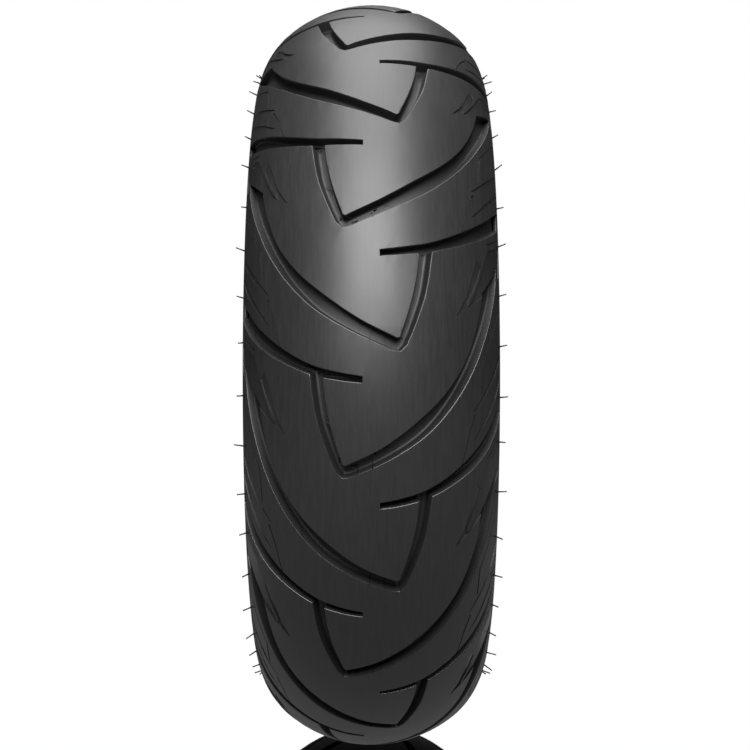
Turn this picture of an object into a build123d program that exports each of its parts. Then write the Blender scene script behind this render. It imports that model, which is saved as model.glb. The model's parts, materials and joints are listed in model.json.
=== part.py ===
from build123d import *
from math import acos, atan2, cos, degrees, hypot, pi, radians, sin, sqrt, tan
import os

# Tubeless 130/70-10 motorcycle tyre, split into the pieces it is built up from.
# It stands upright: the wheel's axis lies along +Y, +Z is up and the origin is the
# centre of the wheel. Each piece is a section in the YZ plane, turned round Y.

# Overall size, in millimetres and degrees
overall_diameter = 436.0
section_width = 130.5        # measured across the tread's edges
tread_drop = 50.0            # from the crown's top down to the tread's edge
crown_angle = 37.5           # where the crown's arc meets the shoulder's
edge_angle = 84.0            # where the shoulder's arc ends

# Rim fit: a 10 inch, 3.50 wide rim
bead_seat_radius = 126.0
flange_spacing = 88.9
flange_face_height = 8.5     # flat height that bears on the rim's flange
flange_curl_radius = 8.0
flange_curl_angle = 22.0     # how far the curl turns back past straight up
heel_radius = 3.5
toe_radius = 1.3
rim_line_height = 17.5       # above the bead seat
rim_line_overhang = 7.6      # how far the rim line stands outside the flange face
sidewall_bulge = 3.4

# Rubber and fabric layers
tread_base_thickness = 1.5
breaker_thickness = 0.9
ply_thickness = 0.7
tie_gum_thickness = 0.5
liner_thickness = 1.0
chafer_thickness = 0.7
rim_strip_thickness = 2.4
shoulder_thickness = 7.2     # all that lies outside the body plies, at the tread's edge
ply_side_radius = 23.0
breaker_end_angle = 52.0
breaker_step = 4.0           # the outer breaker is this much narrower on each side
edge_strip_angle = 62.0
tread_base_end_angle = 72.0
wing_angle = 76.0
wing_cover = 0.6             # rubber between the wing and the grooves

# Bead
wire_diameter = 1.1
wire_gap = 0.02
wires_per_side = 4
insulation_margin = 0.6
bead_wrap_thickness = 0.8
bead_corner_radius = 0.9
ply_bend_rise = 0.6          # the plies bend this far above the wrapped bundle
base_rubber = 0.8
turnup_height = 20.5         # above the bead seat
filler_tip = 0.5
chafer_height = 11.5         # above the bead seat, on the flange side
liner_end_height = 5.5       # above the bead seat, on the toe side

# Tread pattern
pitches = 11
apex_angle = 4.67            # of one right-hand chevron, above the front
groove_depth = 6.4
groove_edge_depth = 3.0
under_groove = 1.0           # rubber between the grooves' floors and the tread base

# Groove outlines: (across the tread from its centre line, round it from the apex),
# drawn for one size of tread and scaled to the real one
drawn_pitch = 124.5
drawn_half_tread = 90.0
sweep_lower_lip = (
    (-80, 117), (-77, 103), (-71.5, 87), (-64, 70.5), (-55, 53.5), (-43, 36.5), (-28, 21.5),
    (-10, 10.2), (9.5, 1.2),
)
sweep_upper_lip = (
    (12.6, 6.2), (-5, 15), (-22, 27), (-38, 41.5), (-50, 58.5), (-58.5, 79.5), (-62.7, 97),
)
apex_nose = ((9.5, 1.2), (14.3, 0.3), (17.3, 3.4))
leg_outer_lip = ((17.3, 3.4), (22.2, 15.2), (27.2, 31), (30.6, 52.5))
leg_inner_lip = ((14.2, 6.8), (19, 21.5), (22.6, 37), (24.3, 52))
cross_lower_lip = ((4.4, 47.1), (16, 48.4), (30, 51.2), (46, 57.4), (62, 66), (78, 78), (88, 88))
cross_upper_lip = ((88, 102), (76, 89), (62, 76), (46, 64.2), (30, 55.8), (16, 52), (4.4, 50))
cross_tip = ((4.4, 50), (3, 48.5), (4.4, 47.1))
cutter_aim = 50.0            # where round the tread the cutters point straight in

# Vent spews
spew_diameter = 1.0
spew_length = 5.0
spew_lateral = 82.0          # along the tread's surface, from its centre line
spew_places = (6.0, 38.0, 71.0, 99.0)

# What follows from the sizes above
tyre_radius = overall_diameter / 2
half_width = section_width / 2
half_flange = flange_spacing / 2
sin_crown, cos_crown = sin(radians(crown_angle)), cos(radians(crown_angle))
sin_edge, cos_edge = sin(radians(edge_angle)), cos(radians(edge_angle))
shape = sin_crown * (cos_crown - cos_edge) - (sin_edge - sin_crown) * (1 - cos_crown)
crown_radius = (half_width * (cos_crown - cos_edge) - (sin_edge - sin_crown) * tread_drop) / shape
shoulder_radius = (sin_crown * tread_drop - (1 - cos_crown) * half_width) / shape
crown_centre = (0.0, tyre_radius - crown_radius)
shoulder_centre = (
    (crown_radius - shoulder_radius) * sin_crown,
    crown_centre[1] + (crown_radius - shoulder_radius) * cos_crown,
)
crown_half_length = crown_radius * radians(crown_angle)
half_tread = crown_half_length + shoulder_radius * radians(edge_angle - crown_angle)
pitch_angle = 360 / pitches
across_scale = half_tread / drawn_half_tread
round_scale = tyre_radius * radians(pitch_angle) / drawn_pitch

tread_cap_thickness = groove_depth + under_groove
base_offset = 2 * breaker_thickness + tread_base_thickness
ply_crown_radius = crown_radius - tread_cap_thickness - base_offset
ply_side_centre_w = half_width - shoulder_thickness - ply_side_radius
ply_side_centre = (
    ply_side_centre_w,
    crown_centre[1] + sqrt((ply_crown_radius - ply_side_radius) ** 2 - ply_side_centre_w**2),
)
ply_tangent_angle = atan2(ply_side_centre_w, ply_side_centre[1] - crown_centre[1])

wire_pitch = wire_diameter + wire_gap
wire_span = (wires_per_side - 1) * wire_pitch + wire_diameter
insulation_width = wire_span + 2 * insulation_margin
bead_width = insulation_width + 2 * bead_wrap_thickness
plies_thickness = 2 * ply_thickness
bead_centre = (
    half_flange - rim_strip_thickness - chafer_thickness - plies_thickness - bead_width / 2,
    bead_seat_radius + base_rubber + chafer_thickness + plies_thickness + bead_width / 2,
)
bead_inner_w = bead_centre[0] - bead_width / 2
bead_outer_w = bead_centre[0] + bead_width / 2
bead_top_r = bead_centre[1] + bead_width / 2
cavity_depth = plies_thickness + tie_gum_thickness + liner_thickness
axis_r = bead_seat_radius - 20.0      # sections that are only used to cut end here


def polar(centre, radius, angle):
    """A point on a circle of the section, with its angle in radians from straight up."""
    return (centre[0] + radius * sin(angle), centre[1] + radius * cos(angle))


def arc(centre, radius, start, end):
    """An arc of the section between two angles in radians from straight up."""
    points = [polar(centre, radius, start + (end - start) * part) for part in (0, 0.5, 1)]
    return ThreePointArc(*points)


def tread_surface(lateral):
    """Height and width of the tread's surface at a distance along it from its centre."""
    side = 1 if lateral >= 0 else -1
    if abs(lateral) <= crown_half_length:
        angle = abs(lateral) / crown_radius
        width, radius = polar(crown_centre, crown_radius, angle)
    else:
        angle = radians(crown_angle) + (abs(lateral) - crown_half_length) / shoulder_radius
        width, radius = polar(shoulder_centre, shoulder_radius, angle)
    return side * width, radius, side * angle


# The body plies' outer face runs down to the bead, tangent to the side arc
bead_bend = (bead_inner_w, bead_top_r + ply_bend_rise)
bend_offset = (bead_bend[0] - ply_side_centre[0], bead_bend[1] - ply_side_centre[1])
bend_distance = hypot(*bend_offset)
side_end_angle = atan2(bend_offset[0], bend_offset[1]) % (2 * pi) - acos(ply_side_radius / bend_distance)
slope = (-cos(side_end_angle), sin(side_end_angle))     # along the straight, up and outwards
slope_normal = (sin(side_end_angle), cos(side_end_angle))
bend_shift = tan((side_end_angle - pi / 2) / 2)


def inside(offset):
    """Half of the space inside the plies' outer face, moved outwards by an offset."""
    side = ply_side_radius + offset
    bend = (bead_bend[0] + offset, bead_bend[1] - offset * bend_shift)
    top_r = crown_centre[1] + ply_crown_radius + offset
    edges = [
        arc(crown_centre, ply_crown_radius + offset, 0, ply_tangent_angle),
        arc(ply_side_centre, side, ply_tangent_angle, side_end_angle),
        Line(polar(ply_side_centre, side, side_end_angle), bend),
        Polyline(bend, (bend[0], axis_r), (0, axis_r), (0, top_r)),
    ]
    return make_face(edges)


def box_of(w_low, r_low, w_high, r_high):
    """A rectangle of the section, used to cut with."""
    corners = [(w_low, r_low), (w_high, r_low), (w_high, r_high), (w_low, r_high)]
    return make_face(Polyline(*corners, close=True))


# Outer outline of one half, from the crown down to the rim and back along the bead's base
tread_edge = polar(shoulder_centre, shoulder_radius, radians(edge_angle))
rim_line = (half_flange + rim_line_overhang, bead_seat_radius + rim_line_height)
curl_centre = (half_flange + flange_curl_radius, bead_seat_radius + flange_face_height)
curl_end = polar(curl_centre, flange_curl_radius, radians(-flange_curl_angle))
base_low = (half_flange - heel_radius, bead_seat_radius)
outline = make_face([
    arc(crown_centre, crown_radius, 0, radians(crown_angle)),
    arc(shoulder_centre, shoulder_radius, radians(crown_angle), radians(edge_angle)),
    SagittaArc(tread_edge, rim_line, sidewall_bulge),
    Line(rim_line, curl_end),
    arc(curl_centre, flange_curl_radius, radians(-flange_curl_angle), radians(-90)),
    Line((half_flange, curl_centre[1]), (half_flange, bead_seat_radius + heel_radius)),
    arc((base_low[0], bead_seat_radius + heel_radius), heel_radius, radians(90), radians(180)),
    Polyline(base_low, (0, bead_seat_radius), (0, tyre_radius)),
])
section = outline - inside(-cavity_depth)
toe = section.vertices().sort_by_distance((bead_inner_w - cavity_depth, bead_seat_radius))[0]
section = fillet(toe, toe_radius)


def crown_side(point, angle):
    """Everything on the crown's side of a straight cut through a point."""
    reach = 2 * tyre_radius
    along = Vector(sin(radians(angle)), cos(radians(angle)))
    towards_crown = Vector(-along.Y, along.X)
    start = Vector(*point) - along * reach
    end = Vector(*point) + along * reach
    lift = towards_crown * reach
    return make_face(Polyline(start, end, end + lift, start + lift, close=True))


def pocket(offset_by):
    """The bead's wrapped bundle and its filler, grown outwards, cut off at the turn-up's end."""
    rise = bead_seat_radius + turnup_height - bead_bend[1]
    along = Vector(*slope)
    across = Vector(*slope_normal)
    tip_inner = Vector(*bead_bend) + along * (rise / slope[1])
    tip_outer = tip_inner + across * filler_tip
    bottom_r = bead_centre[1] - bead_width / 2
    corners = [
        bead_bend,
        (bead_inner_w, bottom_r),
        (bead_outer_w, bottom_r),
        (bead_outer_w, bead_top_r),
        tip_outer,
        tip_inner,
    ]
    face = make_face(Polyline(*corners, close=True))
    if offset_by:
        face = offset(face, offset_by, kind=Kind.INTERSECTION)
    low_corners = face.vertices().sort_by(Axis.Y)[:2]
    face = fillet(low_corners, bead_corner_radius + bead_wrap_thickness + offset_by)
    reach = overall_diameter
    below_tip = Polyline(
        tip_inner + across * reach,
        tip_inner - across * reach,
        tip_inner - across * reach - along * reach,
        tip_inner + across * reach - along * reach,
        close=True,
    )
    return face & make_face(below_tip)


def band(inner, outer):
    """The strip between two offsets from the plies' outer face, from crown to bead."""
    return inside(outer) - inside(inner)


def ply(inner, outer):
    """A body ply: over the crown, down inside the bead, round it and up the other side."""
    down = band(-outer, -inner) & box_of(0, bead_centre[1], section_width, tyre_radius)
    return down + (pocket(outer) - pocket(inner))


# Sections of the pieces, for the right-hand half
ply_sections = [ply(0, ply_thickness), ply(ply_thickness, plies_thickness)]
above_toe = box_of(0, bead_seat_radius + liner_end_height, section_width, tyre_radius)
gum_section = band(-plies_thickness - tie_gum_thickness, -plies_thickness) & above_toe
liner_section = band(-cavity_depth, -plies_thickness - tie_gum_thickness) & above_toe
chafer_area = box_of(0, axis_r, bead_centre[0], bead_seat_radius + liner_end_height) + box_of(
    bead_centre[0], axis_r, section_width, bead_seat_radius + chafer_height
)
chafer_section = (pocket(plies_thickness + chafer_thickness) - pocket(plies_thickness)) & chafer_area

bead_box_at = Pos(*bead_centre)
wrap_corner = bead_corner_radius + bead_wrap_thickness
wrap_outline = bead_box_at * RectangleRounded(bead_width, bead_width, wrap_corner)
insulation_outline = bead_box_at * RectangleRounded(
    insulation_width, insulation_width, bead_corner_radius
)
wire_places = bead_box_at * GridLocations(wire_pitch, wire_pitch, wires_per_side, wires_per_side)
wire_sections = Sketch() + [place * Circle(wire_diameter / 2) for place in wire_places]
filler_section = pocket(0) - wrap_outline
wrap_section = wrap_outline - insulation_outline
insulation_section = insulation_outline - bead_box_at * Rectangle(wire_span, wire_span)

breaker_step_angle = degrees(breaker_step / ply_crown_radius)
breaker_sections = [
    band(0, breaker_thickness) & crown_side(crown_centre, breaker_end_angle),
    band(breaker_thickness, 2 * breaker_thickness)
    & crown_side(crown_centre, breaker_end_angle - breaker_step_angle),
]
both_breakers = breaker_sections[0] + breaker_sections[1]
edge_strip_section = (
    band(0, 2 * breaker_thickness) & crown_side(ply_side_centre, edge_strip_angle)
) - both_breakers
base_section = (
    (band(0, base_offset) & crown_side(ply_side_centre, tread_base_end_angle))
    - both_breakers
    - edge_strip_section
)
tread_side = crown_side(shoulder_centre, edge_angle)
wing_top = polar(ply_side_centre, ply_side_radius, radians(wing_angle))
wing_outer = polar(
    shoulder_centre, shoulder_radius - groove_edge_depth - wing_cover, radians(edge_angle)
)
wing_cut_angle = degrees(atan2(wing_outer[0] - wing_top[0], wing_outer[1] - wing_top[1]))
outside_plies = section - inside(0)
wing_area = box_of(ply_side_centre_w, bead_seat_radius, section_width, tyre_radius)
wing_inner_side = crown_side(wing_top, wing_cut_angle)
wing_section = (outside_plies & tread_side & wing_area) - wing_inner_side - base_section
cap_section = (
    (outside_plies & tread_side)
    - wing_section
    - base_section
    - edge_strip_section
    - both_breakers
)
bead_area = pocket(plies_thickness) + chafer_section
rim_line_box = box_of(0, axis_r, section_width, rim_line[1])
sidewall_section = outside_plies - tread_side - bead_area - rim_line_box
rim_strip_section = (
    (section & rim_line_box)
    - bead_area
    - ply_sections[0]
    - ply_sections[1]
    - gum_section
    - liner_section
    - (inside(0) & above_toe)
)


def turned(face):
    """A ring: a section turned once round the wheel's axis."""
    rings = [revolve(Plane.YZ * each, axis=Axis.Y, revolution_arc=360) for each in face.faces()]
    return rings[0] if len(rings) == 1 else Compound(children=rings)


def whole(face):
    """A section and its mirror image, joined at the centre line."""
    return face + mirror(face, about=Plane.YZ)


def tread_outline(points, turn):
    """Outline points (across, round) on the tread, seen along the radius at a turn."""
    flat = []
    for across, along in points:
        width, radius, _ = tread_surface(across * across_scale)
        flat.append((width, radius * sin(along * round_scale / tyre_radius - turn)))
    return flat


def groove_cutter():
    """One chevron of the pattern: a long sweep, its short leg and the cross groove it meets."""
    turn = cutter_aim * round_scale / tyre_radius
    sweep_low = Spline(*tread_outline(sweep_lower_lip, turn))
    sweep_high = Spline(*tread_outline(sweep_upper_lip, turn))
    leg_out = Spline(*tread_outline(leg_outer_lip, turn))
    leg_in = Spline(*tread_outline(leg_inner_lip, turn))
    cross_low = Spline(*tread_outline(cross_lower_lip, turn))
    cross_high = Spline(*tread_outline(cross_upper_lip, turn))
    nose = ThreePointArc(*tread_outline(apex_nose, turn))
    chevron = make_face([
        sweep_low,
        nose,
        leg_out,
        Line(leg_out @ 1, leg_in @ 1),
        leg_in,
        Line(leg_in @ 0, sweep_high @ 0),
        sweep_high,
        Line(sweep_high @ 1, sweep_low @ 0),
    ])
    cross = make_face([
        cross_low,
        Line(cross_low @ 1, cross_high @ 0),
        cross_high,
        ThreePointArc(*tread_outline(cross_tip, turn)),
    ])
    prism = extrude(Plane.YZ * (chevron + cross), tyre_radius + groove_depth)
    return Rot(0, -degrees(turn), 0) * prism


def groove_floor():
    """Everything under the grooves' floors."""
    floor_radius = crown_radius - groove_depth
    bend = polar(crown_centre, floor_radius, radians(crown_angle))
    edge = polar(shoulder_centre, shoulder_radius - groove_edge_depth, radians(edge_angle))
    low_edge = (edge[0], axis_r)
    face = make_face([
        arc(crown_centre, floor_radius, 0, radians(crown_angle)),
        TangentArc(bend, edge, tangent=(cos_crown, -sin_crown)),
        Polyline(edge, low_edge, (0, axis_r), (0, crown_centre[1] + floor_radius)),
    ])
    return turned(whole(face))


def spew(turn, side):
    """A short hair of rubber, standing square on the tread's surface."""
    width, radius, angle = tread_surface(spew_lateral * across_scale)
    hair = Cylinder(spew_diameter / 2, spew_length, align=(Align.CENTER, Align.CENTER, Align.MIN))
    hair = Pos(0, side * width, radius) * Rot(-degrees(angle) * side, 0, 0) * hair
    return Rot(0, 90 - turn, 0) * hair


# The left-hand chevrons mirror the right-hand ones, half a pitch further on
cutter = groove_cutter() - groove_floor()
cutters = []
for pitch in range(pitches):
    right_hand = Rot(0, -pitch * pitch_angle - apex_angle, 0) * cutter
    left_hand = Rot(0, -(pitch + 0.5) * pitch_angle - apex_angle, 0) * mirror(cutter, about=Plane.XZ)
    cutters += [right_hand, left_hand]

# Whole rings: the tread and everything that crosses the centre line
parts = {
    "tread_cap": turned(whole(cap_section)) - cutters,
    "tread_base": turned(whole(base_section)),
    "breaker_ply_inner": turned(whole(breaker_sections[0])),
    "breaker_ply_outer": turned(whole(breaker_sections[1])),
    "body_ply_outer": turned(whole(ply_sections[0])),
    "body_ply_inner": turned(whole(ply_sections[1])),
    "tie_gum": turned(whole(gum_section)),
    "inner_liner": turned(whole(liner_section)),
}

# Rings that come in pairs, one on each side of the tyre
side_sections = {
    "breaker_edge_strip": edge_strip_section,
    "tread_wing": wing_section,
    "sidewall": sidewall_section,
    "rim_strip": rim_strip_section,
    "chafer": chafer_section,
    "bead_filler": filler_section,
    "bead_wrap": wrap_section,
    "bead_insulation": insulation_section,
    "bead_wires": wire_sections,
}
for name, side_section in side_sections.items():
    parts[name + "_right"] = turned(side_section)
    parts[name + "_left"] = turned(mirror(side_section, about=Plane.YZ))

# Vent spews; on the left side they follow the left-hand chevrons, half a pitch on
for name, side in (("right", 1), ("left", -1)):
    hairs = []
    for pitch in range(pitches):
        for place in spew_places:
            start = (pitch + (0 if side > 0 else 0.5)) * pitch_angle + apex_angle
            hairs.append(spew(start + degrees(place * round_scale / tyre_radius), side))
    parts["vent_spews_" + name] = Compound(children=hairs)

os.makedirs("parts", exist_ok=True)
for name, shape in parts.items():
    export_step(shape, f"parts/{name}.step")
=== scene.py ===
import json
from math import acos, atan2, ceil, cos, degrees, hypot, pi, radians, sin, sqrt, tan

import bmesh
import bpy
from mathutils import Matrix, Vector


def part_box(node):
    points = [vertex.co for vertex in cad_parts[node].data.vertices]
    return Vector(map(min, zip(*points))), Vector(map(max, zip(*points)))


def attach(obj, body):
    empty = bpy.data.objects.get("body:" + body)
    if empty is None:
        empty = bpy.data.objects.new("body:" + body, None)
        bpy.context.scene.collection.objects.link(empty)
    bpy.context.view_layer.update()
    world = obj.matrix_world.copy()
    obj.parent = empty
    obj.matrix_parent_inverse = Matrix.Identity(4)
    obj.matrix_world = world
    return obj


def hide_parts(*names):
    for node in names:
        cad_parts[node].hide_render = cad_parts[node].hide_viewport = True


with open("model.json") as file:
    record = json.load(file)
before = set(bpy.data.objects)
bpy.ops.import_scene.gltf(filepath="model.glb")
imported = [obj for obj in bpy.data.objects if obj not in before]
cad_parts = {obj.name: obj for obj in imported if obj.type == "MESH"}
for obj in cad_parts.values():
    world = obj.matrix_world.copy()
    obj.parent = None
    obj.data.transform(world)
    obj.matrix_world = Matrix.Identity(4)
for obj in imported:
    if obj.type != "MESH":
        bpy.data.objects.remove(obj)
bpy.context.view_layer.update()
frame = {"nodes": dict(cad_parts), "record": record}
print("frame loaded")

mm = 0.001
record = frame["record"]
mounts = {mount["name"]: mount for mount in record["mounts"]}
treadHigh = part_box("tread_cap")[1]

# The tyre's section in millimetres: width from the centre plane, radius from the axle
tyre = {
    "radius": treadHigh.z / mm,
    "halfWidth": treadHigh.y / mm,
    "seat": mounts["bead_seat"]["dims"]["r_mm"],
    "halfFlange": mounts["rim_flange_right"]["pos_m"][1] / mm,
    "drop": 50.0,               # from the crown down to the tread's edge
    "crownAngle": 37.5,
    "edgeAngle": 84.0,
    "pitches": 11,
    "apexAngle": 4.67,
}


# shape of the section
def polar(centre, radius, angle):
    return (centre[0] + radius * sin(angle), centre[1] + radius * cos(angle))


def arcPoints(centre, radius, start, end, step):
    # points on an arc, angles in degrees from straight up
    count = max(2, ceil(abs(end - start) / step))
    return [polar(centre, radius, radians(start + (end - start) * k / count)) for k in range(count + 1)]


sinCrown, cosCrown = sin(radians(tyre["crownAngle"])), cos(radians(tyre["crownAngle"]))
sinEdge, cosEdge = sin(radians(tyre["edgeAngle"])), cos(radians(tyre["edgeAngle"]))
spread = sinCrown * (cosCrown - cosEdge) - (sinEdge - sinCrown) * (1 - cosCrown)
crownRadius = (tyre["halfWidth"] * (cosCrown - cosEdge) - (sinEdge - sinCrown) * tyre["drop"]) / spread
shoulderRadius = (sinCrown * tyre["drop"] - (1 - cosCrown) * tyre["halfWidth"]) / spread
crownCentre = (0.0, tyre["radius"] - crownRadius)
shoulderCentre = (
    (crownRadius - shoulderRadius) * sinCrown,
    crownCentre[1] + (crownRadius - shoulderRadius) * cosCrown,
)
crownHalf = crownRadius * radians(tyre["crownAngle"])
edgeHalf = crownHalf + shoulderRadius * radians(tyre["edgeAngle"] - tyre["crownAngle"])
pitch = 2 * pi * tyre["radius"] / tyre["pitches"]


def onTread(lateral):
    # width, radius and the surface's tilt at a distance along the tread from its centre line
    side = 1 if lateral >= 0 else -1
    if abs(lateral) <= crownHalf:
        tilt = abs(lateral) / crownRadius
        width, radius = polar(crownCentre, crownRadius, tilt)
    else:
        tilt = radians(tyre["crownAngle"]) + (abs(lateral) - crownHalf) / shoulderRadius
        width, radius = polar(shoulderCentre, shoulderRadius, tilt)
    return side * width, radius, side * tilt


def inSpace(width, radius, turn):
    # a point of the section at an angle round the axle, from the front upwards
    return Vector((radius * cos(turn), width, radius * sin(turn))) * mm


# mesh helpers
def makePiece(name, mesh, material, replaced=()):
    piece = bpy.data.objects.new(name, mesh)
    bpy.context.scene.collection.objects.link(piece)
    mesh.materials.clear()
    mesh.materials.append(material)
    mesh.polygons.foreach_set("use_smooth", [True] * len(mesh.polygons))
    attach(piece, "root")
    if replaced:
        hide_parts(*replaced)
    return piece


def smoothLine(points, step):
    # a curve through given points, divided into short straights
    ends = [Vector(p) for p in points]
    ends = [2 * ends[0] - ends[1]] + ends + [2 * ends[-1] - ends[-2]]
    line = []
    for k in range(1, len(ends) - 2):
        count = max(1, round((ends[k + 1] - ends[k]).length / step))
        before, start, end, after = ends[k - 1:k + 3]
        for j in range(count):
            t = j / count
            line.append(0.5 * (
                2 * start + (end - before) * t
                + (2 * before - 5 * start + 4 * end - after) * t * t
                + (3 * start - before - 3 * end + after) * t ** 3
            ))
    line.append(ends[-2])
    return line


# tread
tread = {
    "thickness": 7.2,
    "depth": 6.4,               # of the grooves at the crown
    "edgeDepth": 3.0,           # and at the tread's edge
    "lip": 0.5,                 # rounding of the grooves' edges
    "lipSteps": 3,
    "foot": 1.5,                # rounding where a wall meets the floor
    "footSteps": 4,
    "step": 3.2,                # spacing of points along the outlines
    "nearest": 0.05,            # points nearer than this are left out of an outline
    "lanes": 26,                # divisions across the tread
    "laneShift": 0.013,         # keeps those divisions off the outlines' points
    "slices": 10,               # divisions round one pitch
    "spare": 30,                # pattern beyond both ends of a pitch, cut off at the end
    "grooveTop": 4,             # height of the grooves' cutters over the tread
    "markTop": 3,               # and of the marks' cutters
    "fold": 0.3,                # cosine under which an edge counts as sharp
    "weld": 0.002,              # points nearer than this become one
    "seamWeld": 0.01,           # the same where the pitches meet
    "sharpAngle": 42,           # edges steeper than this keep hard shading
    "evenWeight": 90,           # how far large faces lead the shading
}
# Outlines: across the tread from its centre line, and round it from the chevron's apex
grooves = {
    "sweepLower": [(-80, 117), (-77, 103), (-71.5, 87), (-64, 70.5), (-55, 53.5), (-43, 36.5), (-28, 21.5),
                   (-10, 10.2), (9.5, 1.2)],
    "nose": [(9.5, 1.2), (14.3, 0.3), (17.3, 3.4)],
    "legOuter": [(17.3, 3.4), (22.2, 15.2), (27.2, 31), (30.6, 52.5)],
    "legInner": [(24.3, 52), (22.6, 37), (19, 21.5), (14.2, 6.8)],
    "sweepUpper": [(12.6, 6.2), (-5, 15), (-22, 27), (-38, 41.5), (-50, 58.5), (-58.5, 79.5), (-62.7, 97)],
    "crossLower": [(4.4, 47.1), (16, 48.4), (30, 51.2), (46, 57.4), (62, 66), (78, 78), (96, 94)],
    "crossUpper": [(96, 108), (76, 89), (62, 76), (46, 64.2), (30, 55.8), (16, 52), (4.4, 50)],
}

# Shallow marks cut along lines beside the grooves, with their width and depth at each end
marks = [
    {"line": [(-61, 41), (-62.5, 59), (-70, 71), (-82, 91)], "width": (1.0, 0.7), "depth": (0.7, 0.4)},
    {"line": [(-55, 31), (-66, 42), (-84, 62)], "width": (0.5, 4.0), "depth": (0.8, 0.3)},
    {"line": [(-55, 15), (-61, 21), (-75, 37), (-85, 50)], "width": (0.5, 4.0), "depth": (0.8, 0.3)},
    {"line": [(-47.5, 3), (-50, 11.3), (-52, 18.9), (-54, 24), (-56, 29)],
     "width": (0.5, 1.1), "depth": (0.6, 0.8)},
    {"line": [(66.5, 64.5), (72, 68.2), (84, 76.5)], "width": (0.9, 0.7), "depth": (0.6, 0.4)},
    {"line": [(-0.3, 10.3), (-0.8, 4.7)], "width": (0.5, 0.5), "depth": (7.0, 7.0)},
    {"line": [(7.3, 6.6), (6.8, 1.9)], "width": (0.45, 0.45), "depth": (7.0, 7.0)},
    {"line": [(14.9, 7.5), (17.3, 6.5)], "width": (0.45, 0.45), "depth": (7.0, 7.0)},
]
# The sunken tooth on each shoulder: two shallow areas with a rib left between them, a depth at each corner
toothInner = [(44, 19.2, 0.9), (49, 27.6, 0.9), (51, 31.8, 0.9), (54, 42, 0.6), (58, 52.5, 0.3),
              (61, 48.5, 0.3), (58, 40.1, 0.5), (55, 33.7, 0.9), (52, 28.3, 0.9), (51.6, 24.8, 0.9)]
toothOuter = [(50.9, 24.2, 0.9), (58, 28.7, 0.9), (62, 32.5, 0.8), (75, 43, 0.5), (84, 51, 0.35),
              (86, 72, 0.3), (72, 64, 0.45), (68, 61.5, 0.5), (65.2, 55.8, 0.6), (62.2, 47.5, 0.7),
              (59.2, 39.7, 0.8), (56.2, 33.2, 0.9), (53.4, 27.8, 0.9)]


def ribbon(line, width):
    # the outline of a strip along a line, with a width for each end
    line = [Vector(p) for p in line]
    left, right = [], []
    for k, point in enumerate(line):
        run = (line[min(k + 1, len(line) - 1)] - line[max(k - 1, 0)]).normalized()
        half = (width[0] + (width[1] - width[0]) * k / (len(line) - 1)) / 2
        across = Vector((-run.y, run.x)) * half
        left.append(point + across)
        right.append(point - across)
    return left + right[::-1]


def outlineOf(*names):
    # a closed outline from named stretches, without doubled points
    line = []
    for name in names:
        line += smoothLine(grooves[name], tread["step"])
    return [p for k, p in enumerate(line) if (p - line[k - 1]).length > tread["nearest"]]


def asBlock(name, form):
    # turns a bmesh into an object of its own
    mesh = bpy.data.meshes.new(name)
    form.to_mesh(mesh)
    form.free()
    block = bpy.data.objects.new(name, mesh)
    bpy.context.scene.collection.objects.link(block)
    return block


def prism(name, outline, lows, high):
    # a straight-sided block over an outline, with one depth for each corner
    form = bmesh.new()
    top = [form.verts.new((p[0], p[1], high)) for p in outline]
    bottom = [form.verts.new((p[0], p[1], low)) for p, low in zip(outline, lows)]
    form.faces.new(top)
    form.faces.new(bottom[::-1])
    for k in range(len(top)):
        form.faces.new((top[k - 1], bottom[k - 1], bottom[k], top[k]))
    bmesh.ops.triangulate(form, faces=[f for f in form.faces if len(f.verts) > 4])
    bmesh.ops.recalc_face_normals(form, faces=form.faces)
    return asBlock(name, form)


def carve(block, cutters):
    # cuts all the cutters out of a block and returns the result as a bmesh
    group = bpy.data.collections.new("cutters")
    bpy.context.scene.collection.children.link(group)
    for cutter in cutters:
        bpy.context.scene.collection.objects.unlink(cutter)
        group.objects.link(cutter)
    cut = block.modifiers.new("cut", "BOOLEAN")
    cut.operation, cut.operand_type, cut.solver = "DIFFERENCE", "COLLECTION", "EXACT"
    cut.collection = group
    cut.use_self = True
    carved = bpy.data.meshes.new_from_object(block.evaluated_get(bpy.context.evaluated_depsgraph_get()))
    for used in cutters + [block]:
        bpy.data.objects.remove(used)
    bpy.data.collections.remove(group)
    form = bmesh.new()
    form.from_mesh(carved)
    bpy.data.meshes.remove(carved)
    bmesh.ops.remove_doubles(form, verts=form.verts, dist=tread["weld"])
    return form


def insideBlock(point):
    # away from the block's own sides, by a tenth of a millimetre
    return (abs(point.x) < edgeHalf - 0.1
            and -tread["spare"] + 0.1 < point.y < pitch + tread["spare"] - 0.1)


def edgesAt(form, height):
    # sharp edges that lie at one height
    found = []
    for edge in form.edges:
        if len(edge.link_faces) != 2:
            continue
        first, second = edge.link_faces
        if first.normal.dot(second.normal) > tread["fold"]:
            continue
        if all(abs(v.co.z - height) < 0.001 and insideBlock(v.co) for v in edge.verts):
            found.append(edge)
    return found


def placed(outline, half):
    # an outline moved on by half pitches, and mirrored at every second one
    side = 1 if half % 2 == 0 else -1
    return [(side * p[0], p[1] + half * pitch / 2) for p in outline]


def markCutter(mark, half):
    start, end = mark["depth"]
    last = len(mark["line"]) - 1
    depths = [start + (end - start) * k / last for k in range(last + 1)]
    outline = placed(ribbon(mark["line"], mark["width"]), half)
    return prism("mark", outline, [-depth for depth in depths + depths[::-1]], tread["markTop"])


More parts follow.
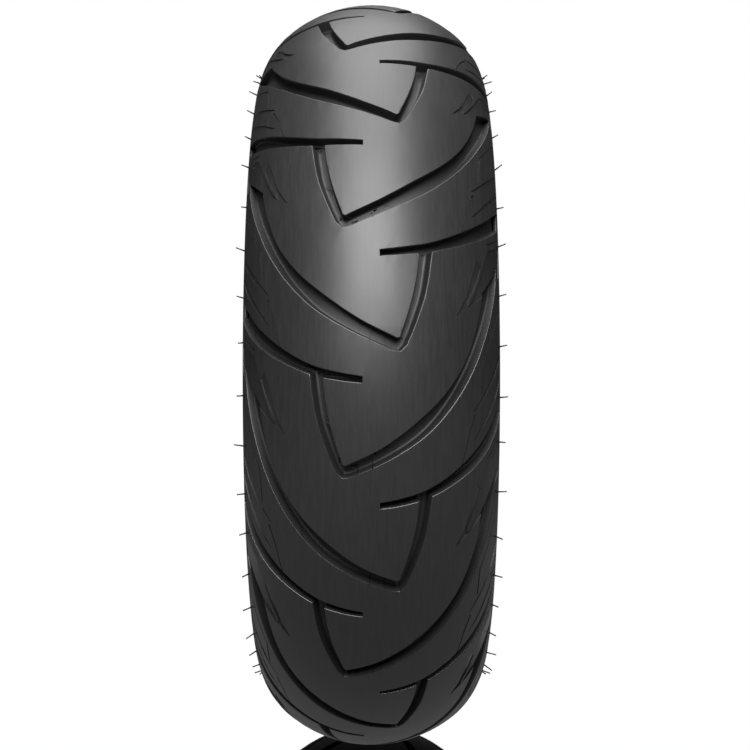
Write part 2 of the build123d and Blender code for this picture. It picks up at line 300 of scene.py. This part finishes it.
def makeTreadTile():
    # one pitch of the pattern, flat: x across, y round the tread, z outwards, in millimetres
    low, high = -tread["spare"], pitch + tread["spare"]
    corners = [(-edgeHalf, low), (edgeHalf, low), (edgeHalf, high), (-edgeHalf, high)]
    slab = prism("slab", corners, [-tread["thickness"]] * 4, 0)
    outlines = (outlineOf("sweepLower", "nose", "legOuter", "legInner", "sweepUpper"),
                outlineOf("crossLower", "crossUpper"))
    cutters, shallowCutters = [], []
    for half in range(-2, 4):
        for outline in outlines:
            depths = [-tread["depth"]] * len(outline)
            cutters.append(prism("groove", placed(outline, half), depths, tread["grooveTop"]))
        shallowCutters += [markCutter(mark, half) for mark in marks]
        for area in (toothInner, toothOuter):
            depths = [-p[2] for p in area]
            shallowCutters.append(prism("tooth", placed(area, half), depths, tread["markTop"]))
    form = carve(slab, cutters)
    bevel = {"profile": 0.5, "affect": "EDGES", "material": -1, "clamp_overlap": False}
    bmesh.ops.bevel(form, geom=edgesAt(form, -tread["depth"]), offset=tread["foot"],
                    segments=tread["footSteps"], **bevel)
    bmesh.ops.bevel(form, geom=edgesAt(form, 0), offset=tread["lip"], segments=tread["lipSteps"], **bevel)
    form = carve(asBlock("bevelled", form), shallowCutters)
    for lane in range(1, tread["lanes"]):
        across = (lane / tread["lanes"] * 2 - 1) * edgeHalf + tread["laneShift"]
        bmesh.ops.bisect_plane(form, geom=form.verts[:] + form.edges[:] + form.faces[:], dist=0.0001,
                               plane_co=(across, 0, 0), plane_no=(1, 0, 0))
    for cut in range(tread["slices"] + 1):
        bmesh.ops.bisect_plane(form, geom=form.verts[:] + form.edges[:] + form.faces[:], dist=0.0001,
                               plane_co=(0, pitch * cut / tread["slices"], 0), plane_no=(0, 1, 0),
                               clear_inner=cut == 0, clear_outer=cut == tread["slices"])
    return form


def wrapRound(form):
    # lays the flat pattern on the tyre, with grooves that grow shallower towards the tread's edges
    # share of the groove's depth at each point; the tread's material paints shade on the grooves' walls from
    # it
    grooveShare = form.verts.layers.float.new("groove")
    for vert in form.verts:
        lateral, along, height = vert.co
        vert[grooveShare] = min(1.0, max(0.0, -height / tread["depth"]))
        width, radius, tilt = onTread(lateral)
        beyond = max(0.0, abs(lateral) - crownHalf) / (edgeHalf - crownHalf)
        shallow = 1 - beyond * (1 - tread["edgeDepth"] / tread["depth"])
        width += height * shallow * sin(tilt)
        radius += height * shallow * cos(tilt)
        vert.co = inSpace(width, radius, radians(tyre["apexAngle"]) + along / tyre["radius"])


def makeTread():
    # the whole tread: one tile after another round the tyre
    tile = makeTreadTile()
    wrapRound(tile)
    single = bpy.data.meshes.new("tile")
    tile.to_mesh(single)
    tile.free()
    form = bmesh.new()
    for k in range(tyre["pitches"]):
        start = len(form.verts)
        form.from_mesh(single)
        form.verts.ensure_lookup_table()
        bmesh.ops.rotate(form, verts=form.verts[start:], cent=(0, 0, 0),
                         matrix=Matrix.Rotation(-2 * pi * k / tyre["pitches"], 3, "Y"))
    bmesh.ops.remove_doubles(form, verts=form.verts, dist=tread["seamWeld"] * mm)
    bmesh.ops.recalc_face_normals(form, faces=form.faces)
    mesh = bpy.data.meshes.new("treadCap")
    form.to_mesh(mesh)
    form.free()
    bpy.data.meshes.remove(single)
    return mesh


treadMesh = makeTread()
print("tread made")


# rings turned from a section
def turnRing(name, section, steps):
    # turns a closed loop of (width, radius) round the axle
    form = bmesh.new()
    verts = [form.verts.new(inSpace(width, radius, 0)) for width, radius in section]
    edges = [form.edges.new((verts[k - 1], verts[k])) for k in range(len(verts))]
    bmesh.ops.spin(form, geom=verts + edges, cent=(0, 0, 0), axis=(0, 1, 0), angle=2 * pi, steps=steps,
                   use_merge=True, dvec=(0, 0, 0))
    bmesh.ops.remove_doubles(form, verts=form.verts, dist=0.000002)
    bmesh.ops.recalc_face_normals(form, faces=form.faces)
    mesh = bpy.data.meshes.new(name)
    form.to_mesh(mesh)
    form.free()
    return mesh


# sidewalls and beads
casing = {
    "treadBuild": 10.7,         # rubber and breakers over the body plies at the crown
    "shoulderBuild": 7.2,       # and at the tread's edge
    "sideRadius": 23.0,         # of the body plies
    "plies": 1.4,
    "lining": 1.5,              # tie gum and liner together
    "liner": 0.9,
    "linerTurns": 180,          # facets round the tyre
    "bendRise": 0.6,            # of the plies' bend over the bead
    "beadWidth": 7.26,
    "beadCentre": (36.32, 132.53),
    "linerEnd": 5.5,            # above the bead seat
}
sidewall = {
    "bulge": 3.4,
    "rimLine": (7.6, 17.5),     # outside the flange face, above the bead seat
    "thickness": 2.3,
    "turns": 264,               # facets round the tyre
    "step": 0.55,
}
# Raised rings on a sidewall: distance down from the tread's edge, half width, height
sidewallRings = [(1.6, 1.3, -0.5), (5.2, 0.5, 0.35), (20.6, 0.45, 0.35), (22.4, 0.45, 0.35),
                 (25.4, 1.1, 0.55)]
rimStrip = {
    "curlRadius": 8.0,
    "flatHeight": 8.5,
    "curlStart": -22,           # degrees from straight up, where the curl begins
    "heel": 3.5,
    "toe": 1.3,
    "line": (5.6, 6.4),         # fine groove over the heel: its edges above the bead seat
    "lineSlope": 0.2,
    "lineDepth": 0.25,
    "toeWidth": 2.5,            # of rubber behind the liner's end
    "flangeWidth": 2.5,         # and behind the flange's face
    "flangeTop": 9.0,
    "topWidth": 3.0,
    "topStep": (0.5, 0.9),      # small step in the surface under the rim line
}
treadEdge = polar(shoulderCentre, shoulderRadius, radians(tyre["edgeAngle"]))
rimLine = (tyre["halfFlange"] + sidewall["rimLine"][0], tyre["seat"] + sidewall["rimLine"][1])


def bulgedArc(start, end, bulge, step):
    # an arc between two points of the section, bowed outwards
    chord = hypot(end[0] - start[0], end[1] - start[1])
    radius = (chord * chord / 4 + bulge * bulge) / (2 * bulge)
    middle = ((start[0] + end[0]) / 2, (start[1] + end[1]) / 2)
    outward = ((start[1] - end[1]) / chord, (end[0] - start[0]) / chord)
    centre = (middle[0] - outward[0] * (radius - bulge), middle[1] - outward[1] * (radius - bulge))
    first = degrees(atan2(start[0] - centre[0], start[1] - centre[1]))
    last = degrees(atan2(end[0] - centre[0], end[1] - centre[1]))
    return arcPoints(centre, radius, first, last, degrees(step / radius))


def ringHeight(distance):
    # how far the raised rings stand out at a distance down from the tread's edge
    height = 0.0
    for place, half, rise in sidewallRings:
        part = abs(distance - place) / half
        if part < 1:
            height += rise * (0.5 + 0.5 * cos(pi * part)) ** 0.6
    return height


def makeSidewall(name, side):
    base = bulgedArc(treadEdge, rimLine, sidewall["bulge"], sidewall["step"])
    outer, inner = [], []
    distance = 0.0
    for k, point in enumerate(base):
        nearby = (base[min(k + 1, len(base) - 1)], base[max(k - 1, 0)])
        run = Vector((nearby[0][0] - nearby[1][0], nearby[0][1] - nearby[1][1])).normalized()
        outward = Vector((-run.y, run.x))
        if k:
            distance += (Vector(point) - Vector(base[k - 1])).length
        outer.append(Vector(point) + outward * ringHeight(distance))
        inner.append(Vector(point) - outward * sidewall["thickness"])
    loop = outer + inner[::-1][::4]
    return turnRing(name, [(side * p.x, p.y) for p in loop], sidewall["turns"])


def makeRimStrip(name, side):
    half, seat = tyre["halfFlange"], tyre["seat"]
    curlCentre = (half + rimStrip["curlRadius"], seat + rimStrip["flatHeight"])
    toeSide = casing["beadCentre"][0] - casing["beadWidth"] / 2 - casing["plies"] - casing["lining"]
    curl = arcPoints(curlCentre, rimStrip["curlRadius"], rimStrip["curlStart"], -90, 6)
    heelCentre = (half - rimStrip["heel"], seat + rimStrip["heel"])
    toeCentre = (toeSide + rimStrip["toe"], seat + rimStrip["toe"])
    low, high = rimStrip["line"]
    slope, depth = rimStrip["lineSlope"], rimStrip["lineDepth"]
    loop = [rimLine, (rimLine[0] - rimStrip["topStep"][0], rimLine[1] - rimStrip["topStep"][1])] + curl
    loop += [(half, seat + high), (half - depth, seat + high - slope)]
    loop += [(half - depth, seat + low + slope), (half, seat + low)]
    loop += arcPoints(heelCentre, rimStrip["heel"], 90, 180, 10)
    loop += arcPoints(toeCentre, rimStrip["toe"], 180, 270, 15)
    linerEnd = seat + casing["linerEnd"]
    loop += [(toeSide, linerEnd), (toeSide + rimStrip["toeWidth"], linerEnd)]
    loop += [(half - rimStrip["flangeWidth"], seat + rimStrip["flangeTop"])]
    loop += [(rimLine[0] - rimStrip["topWidth"], rimLine[1])]
    return turnRing(name, [(side * width, radius) for width, radius in loop], sidewall["turns"])


def linerLine(offset):
    # the casing's inner surface in half a section, from the crown down to the bead
    plyCrown = crownRadius - casing["treadBuild"]
    sideWidth = tyre["halfWidth"] - casing["shoulderBuild"] - casing["sideRadius"]
    sideCentre = (sideWidth, crownCentre[1] + sqrt((plyCrown - casing["sideRadius"]) ** 2 - sideWidth ** 2))
    bend = (casing["beadCentre"][0] - casing["beadWidth"] / 2,
            casing["beadCentre"][1] + casing["beadWidth"] / 2 + casing["bendRise"])
    away = (bend[0] - sideCentre[0], bend[1] - sideCentre[1])
    endAngle = atan2(*away) % (2 * pi) - acos(casing["sideRadius"] / hypot(*away))
    turnAngle = atan2(sideWidth, sideCentre[1] - crownCentre[1])
    moved = (bend[0] + offset, bend[1] - offset * tan((endAngle - pi / 2) / 2))
    line = arcPoints(crownCentre, plyCrown + offset, 0, degrees(turnAngle), 3)
    sideArc = arcPoints(sideCentre, casing["sideRadius"] + offset, degrees(turnAngle), degrees(endAngle), 5)
    line += sideArc[1:]
    return line + [moved, (moved[0], tyre["seat"] + casing["linerEnd"])]


def makeLiner():
    inner = linerLine(-casing["plies"] - casing["lining"])
    outer = linerLine(-casing["plies"] - casing["lining"] + casing["liner"])
    loop = [(-width, radius) for width, radius in inner[:0:-1]] + inner
    loop += outer[::-1] + [(-width, radius) for width, radius in outer[1:]]
    return turnRing("innerLiner", loop, casing["linerTurns"])


# vent spews
spews = {
    "places": (6.0, 38.0, 71.0, 99.0),    # round the tread from each chevron's apex
    "lateral": 82.0,
    "diameter": 0.85,
    "length": 4.9,
    "lift": 16.0,               # degrees that they stand up from square to the surface
    "slant": 0.5,               # how much they lean at random, as a share of their length
    "shortest": 0.7,            # share of the length that all have
    "spread": 0.4,              # and that some have besides
    "facets": 8,
    "taper": 0.8,
    "root": 0.2,                # sunk into the rubber
    "otherSide": 37.0,          # makes the two sides differ
}


def chance(seed, stretch):
    # between 0 and 1, and the same at every run
    return (sin(seed) * stretch) % 1


def makeSpews(name, side):
    form = bmesh.new()
    for k in range(tyre["pitches"]):
        for j, place in enumerate(spews["places"]):
            seed = 12.9898 * (k * 4 + j + 1) + (spews["otherSide"] if side > 0 else 0.0)
            forwards, sideways = chance(seed, 43758.5453), chance(seed * 1.7, 24634.6345)
            length = spews["length"] * (spews["shortest"] + spews["spread"] * forwards)
            start = len(form.verts)
            bmesh.ops.create_cone(form, segments=spews["facets"], radius1=spews["diameter"] / 2,
                                  radius2=spews["diameter"] / 2 * spews["taper"],
                                  depth=length + 2 * spews["root"], cap_ends=True)
            form.verts.ensure_lookup_table()
            width, radius, tilt = onTread(side * spews["lateral"])
            turn = radians(tyre["apexAngle"]) + (place + (0 if side > 0 else pitch / 2)) / tyre["radius"]
            turn += 2 * pi * k / tyre["pitches"]
            foot = inSpace(width, radius, turn)
            raised = tilt - side * radians(spews["lift"])
            out = inSpace(sin(raised), cos(raised), turn).normalized()
            along = Vector((-sin(turn), 0, cos(turn)))
            across = out.cross(along)
            for vert in form.verts[start:]:
                rise = vert.co.z + length / 2 - spews["root"]
                lean = rise * spews["slant"]
                vert.co = foot + (out * rise + along * (vert.co.x + lean * (forwards - 0.5))
                                  + across * (vert.co.y + lean * (sideways - 0.5))) * mm
    bmesh.ops.recalc_face_normals(form, faces=form.faces)
    mesh = bpy.data.meshes.new(name)
    form.to_mesh(mesh)
    form.free()
    return mesh


# materials
class Signal:
    # one value on its way through a material's nodes
    def __init__(self, paint, socket):
        self.paint, self.socket = paint, socket

    def maths(self, operation, first, second):
        return self.paint.node("Math", {"operation": operation}, {0: first, 1: second})

    def __add__(self, other):
        return self.maths("ADD", self, other)

    def __sub__(self, other):
        return self.maths("SUBTRACT", self, other)

    def __rsub__(self, other):
        return self.maths("SUBTRACT", other, self)

    def __mul__(self, other):
        return self.maths("MULTIPLY", self, other)

    def between(self, low, high):
        # 0 below low, 1 above high, smooth in between
        return self.paint.node("MapRange", {"interpolation_type": "SMOOTHSTEP"}, {0: self, 1: low, 2: high})

    __radd__ = __add__
    __rmul__ = __mul__


class Paint:
    # one material and the nodes that it is made of
    def __init__(self, name):
        self.material = bpy.data.materials.new(name)
        self.material.use_nodes = True
        self.tree = self.material.node_tree
        self.shader = self.tree.nodes["Principled BSDF"]

    def node(self, kind, settings, inputs, output=0):
        made = self.tree.nodes.new("ShaderNode" + kind)
        for key, value in settings.items():
            setattr(made, key, value)
        for key, value in inputs.items():
            if isinstance(value, Signal):
                self.tree.links.new(value.socket, made.inputs[key])
            else:
                made.inputs[key].default_value = value
        return Signal(self, made.outputs[output])

    def place(self):
        return self.node("TexCoord", {}, {}, "Object")

    def noise(self, where, scale, detail=3.0, roughness=0.6):
        sockets = {"Vector": where, "Scale": scale, "Detail": detail, "Roughness": roughness}
        return self.node("TexNoise", {}, sockets)

    def blend(self, share, first, second):
        # mixes two colours
        made = self.tree.nodes.new("ShaderNodeMix")
        made.data_type = "RGBA"
        self.tree.links.new(share.socket, made.inputs["Factor"])
        for key, value in ((6, first), (7, second)):
            if isinstance(value, Signal):
                self.tree.links.new(value.socket, made.inputs[key])
            else:
                made.inputs[key].default_value = value
        return Signal(self, made.outputs[2])

    def finish(self, colour, roughness, height=None, bumpStrength=0.3, bumpDepth=0.0002):
        self.tree.links.new(colour.socket, self.shader.inputs["Base Color"])
        self.tree.links.new(roughness.socket, self.shader.inputs["Roughness"])
        if height is not None:
            bump = self.node("Bump", {}, {"Strength": bumpStrength, "Distance": bumpDepth, "Height": height})
            self.tree.links.new(bump.socket, self.shader.inputs["Normal"])
        return self.material


def grey(value):
    return (value, value, value * 1.02, 1.0)


def roundTyre(paint, along, across):
    # coordinates that stretch a pattern round the tyre, with no seam
    where = paint.place()
    split = paint.tree.nodes.new("ShaderNodeSeparateXYZ")
    paint.tree.links.new(where.socket, split.inputs[0])
    x, y, z = (Signal(paint, split.outputs[k]) for k in range(3))
    return paint.node("CombineXYZ", {}, {0: x * along, 1: y * across, 2: z * along})


rubber = {
    "dark": 0.012,
    "light": 0.018,
    "roughness": 0.42,
    "streaks": 0.03,            # how much the roughness varies in bands round the tyre
    "clouds": 0.06,
    "wall": 0.003,              # colour of the painted shade on the grooves' walls
    "wallRoughness": 0.3,       # added on those walls
    "glint": 0.16,              # how much smoother their rounded edges are
    "specular": 0.5,
    "bump": 0.2,
    "bumpDepth": 0.00006,
}
sideRubber = {
    "dark": 0.012,
    "light": 0.022,
    "roughness": {"sidewall": 0.46, "base": 0.62, "liner": 0.38},
    "clouds": 0.18,
    "rings": 0.1,
    "bump": 0.3,
    "bumpDepth": 0.00012,
}


def treadRubber():
    paint = Paint("treadRubber")
    where = paint.place()
    streak = paint.noise(roundTyre(paint, 60.0, 900.0), 1.0, 4.0, 0.65)
    cloud = paint.noise(where, 45.0, 3.0)
    speck = paint.noise(where, 1800.0, 2.0, 0.7)
    grain = paint.noise(where, 5200.0, 2.0, 0.6)
    colour = paint.blend(streak.between(0.3, 0.75), grey(rubber["dark"]), grey(rubber["light"]))
    roughness = rubber["roughness"] + (streak - 0.5) * rubber["streaks"] + (cloud - 0.5) * rubber["clouds"]
    # painted shade: darker walls deep in the grooves where shadow falls, and a glint along their rounded
    # edges from lower roughness
    groove = paint.node("Attribute", {"attribute_name": "groove"}, {}, "Fac")
    wall = groove.between(0.08, 0.3) * (1 - groove.between(0.8, 1.0) * 0.6)
    edge = groove.between(0.0, 0.02) * (1 - groove.between(0.06, 0.11))
    # painted shade: the grooves' walls take the dark shade colour
    colour = paint.blend(wall, colour, grey(rubber["wall"]))
    roughness = roughness + wall * rubber["wallRoughness"] - edge * rubber["glint"]
    height = speck * 0.6 + grain * 0.4
    paint.shader.inputs["Specular IOR Level"].default_value = rubber["specular"]
    return paint.finish(colour, roughness, height, rubber["bump"], rubber["bumpDepth"])


def plainRubber(kind):
    # the smoother rubbers: sidewall, base and liner
    paint = Paint(kind + "Rubber")
    where = paint.place()
    cloud = paint.noise(where, 30.0, 4.0)
    speck = paint.noise(where, 2600.0, 3.0, 0.7)
    rings = paint.noise(roundTyre(paint, 14.0, 14.0), 1.0, 5.0)
    colour = paint.blend(cloud.between(0.3, 0.7), grey(sideRubber["dark"]), grey(sideRubber["light"]))
    roughness = sideRubber["roughness"][kind] + (cloud - 0.5) * sideRubber["clouds"]
    roughness = roughness + (rings - 0.5) * sideRubber["rings"]
    return paint.finish(colour, roughness, speck, sideRubber["bump"], sideRubber["bumpDepth"])


def fabric(name, first, second):
    # rubbered cord: fine threads running across the tyre
    paint = Paint(name)
    where = paint.place()
    threads = paint.node("TexWave", {"wave_type": "BANDS", "bands_direction": "DIAGONAL"},
                         {"Vector": where, "Scale": 380.0, "Distortion": 0.6, "Detail": 2.0}, 1)
    cloud = paint.noise(where, 80.0)
    colour = paint.blend(threads, first, second)
    return paint.finish(colour, 0.6 + (cloud - 0.5) * 0.3, threads, 0.5, 0.0003)


def beadSteel():
    paint = Paint("beadSteel")
    where = paint.place()
    drawn = paint.noise(roundTyre(paint, 20.0, 4000.0), 1.0)
    colour = paint.blend(drawn, (0.55, 0.40, 0.22, 1.0), (0.72, 0.56, 0.34, 1.0))
    paint.shader.inputs["Metallic"].default_value = 1.0
    return paint.finish(colour, 0.28 + (drawn - 0.5) * 0.3, drawn, 0.2, 0.00005)


treadMaterial = treadRubber()
sideMaterial = plainRubber("sidewall")
baseMaterial = plainRubber("base")
linerMaterial = plainRubber("liner")
plyMaterial = fabric("plyFabric", (0.30, 0.24, 0.16, 1.0), (0.45, 0.37, 0.25, 1.0))
chaferMaterial = fabric("chaferFabric", (0.10, 0.09, 0.07, 1.0), (0.16, 0.14, 0.11, 1.0))
steelMaterial = beadSteel()
finishes = {
    "tread_rubber": treadMaterial,
    "sidewall_rubber": sideMaterial,
    "liner_rubber": linerMaterial,
    "base_rubber": baseMaterial,
    "ply_fabric": plyMaterial,
    "breaker_fabric": plyMaterial,
    "chafer_fabric": chaferMaterial,
    "bead_steel": steelMaterial,
}
for part in record["subparts"]:
    node = frame["nodes"][part["node"]]
    node.data.materials.clear()
    node.data.materials.append(finishes[part["material_slot"]])
print("materials made")

# the pieces
treadPiece = makePiece("treadCap", treadMesh, treadMaterial, ("tread_cap",))
treadMesh.set_sharp_from_angle(angle=radians(tread["sharpAngle"]))
evenShading = treadPiece.modifiers.new("evenShading", "WEIGHTED_NORMAL")
evenShading.mode = "FACE_AREA"
evenShading.weight = tread["evenWeight"]
evenShading.keep_sharp = True
for sideName, side in (("left", -1), ("right", 1)):
    capital = sideName.capitalize()
    makePiece("sidewall" + capital, makeSidewall("sidewall" + capital, side), sideMaterial,
              ("sidewall_" + sideName,))
    makePiece("rimStrip" + capital, makeRimStrip("rimStrip" + capital, side), sideMaterial,
              ("rim_strip_" + sideName,))
    makePiece("ventSpews" + capital, makeSpews("ventSpews" + capital, side), treadMaterial,
              ("vent_spews_" + sideName,))
makePiece("innerLiner", makeLiner(), linerMaterial, ("inner_liner",))
print("pieces placed")

# floor, lights and camera
studio = {
    "floorShade": 0.4,
    "mirrorShade": 0.1,         # of the floor's reflection, seen at a low angle
    "mirrorFrom": (0.45, 0.76),  # low angles between which the reflection comes in
    "floorDepth": (4, -12),     # in metres, in front of the tyre and behind it
    "floorHalf": 6,
    "air": 0.035,               # brightness all round the tyre
    "below": 0.32,              # and below it
    "belowFrom": (-0.02, -0.3),
    "backdrop": 1.0,            # and behind it
    "backdropFrom": (-0.965, -0.985),
    "lampDistance": 1.8,
    "lampSize": (1.1, 0.7),
    # height angle over the front, and power, of the lamps that arch over the tyre
    "lamps": ((28, 36.0), (50, 29.0), (72, 16.0), (95, 15.0), (120, 8.0)),
}
camera = {
    "distance": 1.057,
    "elevation": 1.66,          # degrees above the axle
    "aside": 0.00184,           # the view's centre stands this far to the right of the tyre's
    "lens": 84.24,
}


def makeFloor():
    form = bmesh.new()
    low = -tyre["radius"] * mm
    (front, back), half = studio["floorDepth"], studio["floorHalf"]
    corners = ((front, -half), (front, half), (back, half), (back, -half))
    form.faces.new([form.verts.new((x, y, low)) for x, y in corners])
    floor = asBlock("floor", form)
    paint = Paint("floorWhite")
    paint.shader.inputs["Base Color"].default_value = grey(studio["floorShade"])
    paint.shader.inputs["Roughness"].default_value = 0.8
    mirror = paint.node("BsdfGlossy", {"distribution": "GGX"},
                        {"Color": grey(studio["mirrorShade"]), "Roughness": 0.0})
    facing = paint.node("LayerWeight", {}, {"Blend": 0.5}, "Facing")
    mix = paint.tree.nodes.new("ShaderNodeMixShader")
    paint.tree.links.new(facing.between(*studio["mirrorFrom"]).socket, mix.inputs[0])
    paint.tree.links.new(paint.shader.outputs[0], mix.inputs[1])
    paint.tree.links.new(mirror.socket, mix.inputs[2])
    paint.tree.links.new(mix.outputs[0], paint.tree.nodes["Material Output"].inputs["Surface"])
    floor.data.materials.append(paint.material)
    # the tyre sees the air's dim underside instead of the floor
    floor.visible_diffuse = False
    floor.visible_glossy = False


def makeLamp(angle, power):
    data = bpy.data.lights.new("lamp", "AREA")
    data.shape = "RECTANGLE"
    data.size, data.size_y = studio["lampSize"]
    data.energy = power
    lamp = bpy.data.objects.new("lamp", data)
    bpy.context.scene.collection.objects.link(lamp)
    back = Vector((cos(radians(angle)), 0, sin(radians(angle))))
    sideways = Vector((0, 1, 0))
    lamp.location = back * studio["lampDistance"]
    lamp.rotation_euler = Matrix((sideways, back.cross(sideways), back)).transposed().to_euler()


def makeAir():
    # white behind the tyre, for the camera and in the floor; dim from below, dimmer all round
    world = bpy.data.worlds.new("studioAir")
    bpy.context.scene.world = world
    world.use_nodes = True
    nodes, links = world.node_tree.nodes, world.node_tree.links
    split = nodes.new("ShaderNodeSeparateXYZ")
    links.new(nodes.new("ShaderNodeTexCoord").outputs["Generated"], split.inputs[0])
    path = nodes.new("ShaderNodeLightPath")
    mirrored = nodes.new("ShaderNodeMath")
    mirrored.operation = "DIVIDE"
    links.new(path.outputs["Is Singular Ray"], mirrored.inputs[0])
    mirrored.inputs[1].default_value = studio["mirrorShade"]
    shares = [path.outputs["Is Camera Ray"], mirrored.outputs[0]]
    for axis, place in ((0, "backdrop"), (2, "below")):
        ramp = nodes.new("ShaderNodeMapRange")
        ramp.interpolation_type = "SMOOTHSTEP"
        links.new(split.outputs[axis], ramp.inputs[0])
        for key, value in enumerate((*studio[place + "From"], studio["air"], studio[place]), 1):
            ramp.inputs[key].default_value = value
        shares.append(ramp.outputs[0])
    brightest = shares[0]
    for share in shares[1:]:
        highest = nodes.new("ShaderNodeMath")
        highest.operation = "MAXIMUM"
        links.new(brightest, highest.inputs[0])
        links.new(share, highest.inputs[1])
        brightest = highest.outputs[0]
    links.new(brightest, nodes["Background"].inputs["Strength"])
    nodes["Background"].inputs["Color"].default_value = (1.0, 1.0, 1.0, 1.0)


makeFloor()
for lampAngle, lampPower in studio["lamps"]:
    makeLamp(lampAngle, lampPower)
makeAir()
bpy.context.scene.view_settings.view_transform = "Standard"

cameraData = bpy.data.cameras.new("camera")
cameraData.lens = camera["lens"]
cameraData.sensor_width = 36.0
cameraData.clip_end = 50.0
cameraObject = bpy.data.objects.new("camera", cameraData)
bpy.context.scene.collection.objects.link(cameraObject)
tilt = radians(camera["elevation"])
aim = Vector((0, camera["aside"], 0))
cameraObject.location = aim + Vector((cos(tilt), 0, sin(tilt))) * camera["distance"]
cameraObject.rotation_euler = (aim - cameraObject.location).to_track_quat("-Z", "Y").to_euler()
bpy.context.scene.camera = cameraObject
print("studio set")
